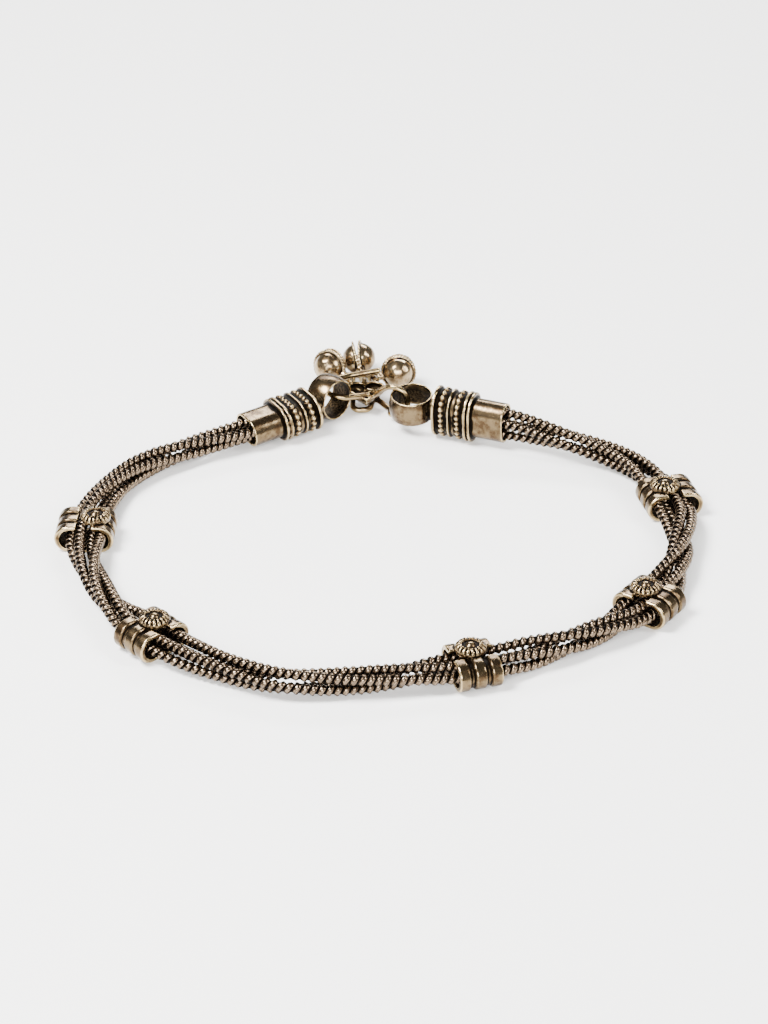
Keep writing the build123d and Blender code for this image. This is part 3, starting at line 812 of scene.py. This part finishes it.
def grainTree():
    # a ring of small beads, as a milled edge has
    tree = bpy.data.node_groups.new("milledEdge", "GeometryNodeTree")
    face = tree.interface
    face.new_socket("Geometry", in_out="OUTPUT", socket_type="NodeSocketGeometry")
    for label, kind in (
        ("Geometry", "Geometry"), ("Radius", "Float"), ("Grains", "Int"), ("Grain Radius", "Float"),
        ("Place", "Vector"), ("Turn", "Rotation"), ("Metal", "Material"),
    ):
        face.new_socket(label, in_out="INPUT", socket_type=f"NodeSocket{kind}")
    given = addNode(tree, "NodeGroupInput").outputs
    ring = addNode(
        tree, "GeometryNodeMeshCircle", None,
        {"Vertices": given["Grains"], "Radius": given["Radius"]},
    ).outputs["Mesh"]
    grain = addNode(
        tree, "GeometryNodeMeshIcoSphere", None, {"Radius": given["Grain Radius"], "Subdivisions": 2}
    ).outputs["Mesh"]
    grains = addNode(
        tree, "GeometryNodeInstanceOnPoints", None, {"Points": ring, "Instance": grain}
    ).outputs["Instances"]
    placed = addNode(
        tree, "GeometryNodeTransform", None,
        {"Geometry": grains, "Translation": given["Place"], "Rotation": given["Turn"]},
    ).outputs["Geometry"]
    real = addNode(
        tree, "GeometryNodeRealizeInstances", None, {"Geometry": placed}
    ).outputs["Geometry"]
    metal = addNode(
        tree, "GeometryNodeSetMaterial", None, {"Geometry": real, "Material": given["Metal"]}
    ).outputs["Geometry"]
    addNode(tree, "NodeGroupOutput", None, {"Geometry": metal})
    return tree


def milledEdges(row):
    meshes = []
    for centre, axis in brimPlaces(*row):
        carrier = addObject("edge", bpy.data.meshes.new("edge"))
        meshes.append(runTree(carrier, milledEdge, {
            "Radius": bellWork["brimRadius"] * mm,
            "Grains": bellWork["grains"],
            "Grain Radius": bellWork["grainSize"] / 2 * mm,
            "Place": centre * mm,
            "Turn": axis.to_track_quat("Z", "Y").to_euler(),
            "Metal": goldenSheet,
        }))
        bpy.data.objects.remove(carrier)
    return meshes


milledEdge = grainTree()
for node, name, slot in (
    ("clasp_hook", "heart_clasp", "oxidised_silver"), ("bell_ring", "bells_jump_ring", "polished_wire"),
):
    form = castCopy(
        node, castWork["wireGrain"], castWork["wireDentDepth"], castWork["wireSoftenings"]
    )
    dressNode(node, name, form, drawnWire)
for index, row in enumerate(bellWork["bells"], 1):
    form = castCopy(
        f"bell_{index}", castWork["bellGrain"], castWork["bellDentDepth"], castSoftenings,
        milledEdges(row),
    )
    dressNode(f"bell_{index}", f"clam_bell_{index}", form, goldenSheet)
    form = castCopy(
        f"bell_ball_{index}", castWork["capGrain"], castWork["ballDentDepth"], castSoftenings
    )
    dressNode(f"bell_ball_{index}", f"rattle_ball_{index}", form, drawnWire)


studio = {
    "tableHalf": 1500,
    "paper": "#FBFAF8",
    "paperRoughness": 0.9,
    "horizonGlow": 0.6,  # a pale room: bright walls near the table's level, a darker ceiling
    "ceilingGlow": 0.18,
    # each softbox: its place, width and height, and watts
    "softboxes": {
        "frontSoftbox": ((-110, -620, 330), (560, 260), 10.0),
        "keySoftbox": ((-260, -60, 440), (200, 200), 9.5),
        "fillSoftbox": ((380, -120, 320), (110, 240), 2.6),
        "backStrip": ((60, 420, 300), (420, 80), 3.0),
    },
}


def addStage():
    half = studio["tableHalf"] * mm
    corners = [(-half, -half, 0), (half, -half, 0), (half, half, 0), (-half, half, 0)]
    mesh = bpy.data.meshes.new("tableTop")
    mesh.from_pydata(corners, [], [(0, 1, 2, 3)])
    table = addObject("table_top", mesh)
    paper = bpy.data.materials.new("matte_white_paper")
    paper.use_nodes = True
    shader = paper.node_tree.nodes["Principled BSDF"]
    shader.inputs["Base Color"].default_value = hexColour(studio["paper"])
    shader.inputs["Roughness"].default_value = studio["paperRoughness"]
    mesh.materials.append(paper)


def addSoftbox(name, place, size, watts):
    # a softbox that faces the anklet's middle
    lamp = bpy.data.lights.new(name, "AREA")
    lamp.shape = "RECTANGLE"
    lamp.size, lamp.size_y = size[0] * mm, size[1] * mm
    lamp.energy = watts
    box = addObject(name, lamp)
    box.location = Vector(place) * mm
    box.rotation_euler = Vector(place).to_track_quat("Z", "Y").to_euler()


def addLight():
    world = bpy.data.worlds.new("studio")
    world.use_nodes = True
    tree = world.node_tree
    tree.nodes.clear()
    way = addNode(tree, "ShaderNodeTexCoord").outputs["Generated"]
    height = addNode(tree, "ShaderNodeSeparateXYZ", None, {"Vector": way}).outputs["Z"]
    glow = addNode(
        tree, "ShaderNodeMapRange", {"interpolation_type": "SMOOTHSTEP"},
        {
            "Value": height, "From Min": 0.05, "From Max": 0.5,
            "To Min": studio["horizonGlow"], "To Max": studio["ceilingGlow"],
        },
    ).outputs["Result"]
    sky = addNode(
        tree, "ShaderNodeBackground", None, {"Color": hexColour("#FFFFFF"), "Strength": glow}
    ).outputs["Background"]
    addNode(tree, "ShaderNodeOutputWorld", None, {"Surface": sky})
    bpy.context.scene.world = world
    for name, (place, size, watts) in studio["softboxes"].items():
        addSoftbox(name, place, size, watts)


eye = {"place": (-23, -379, 234), "aim": (0.5, 4, 2), "lens": 105, "sensor": 36, "near": 10}


def addCamera():
    lens = bpy.data.cameras.new("camera")
    lens.lens = eye["lens"]
    lens.sensor_width = eye["sensor"]
    lens.clip_start = eye["near"] * mm
    camera = addObject("camera", lens)
    place, aim = Vector(eye["place"]), Vector(eye["aim"])
    camera.location = place * mm
    camera.rotation_euler = (place - aim).to_track_quat("Z", "Y").to_euler()
    bpy.context.scene.camera = camera


addStage()
addLight()
addCamera()
print("table, lights and camera placed")
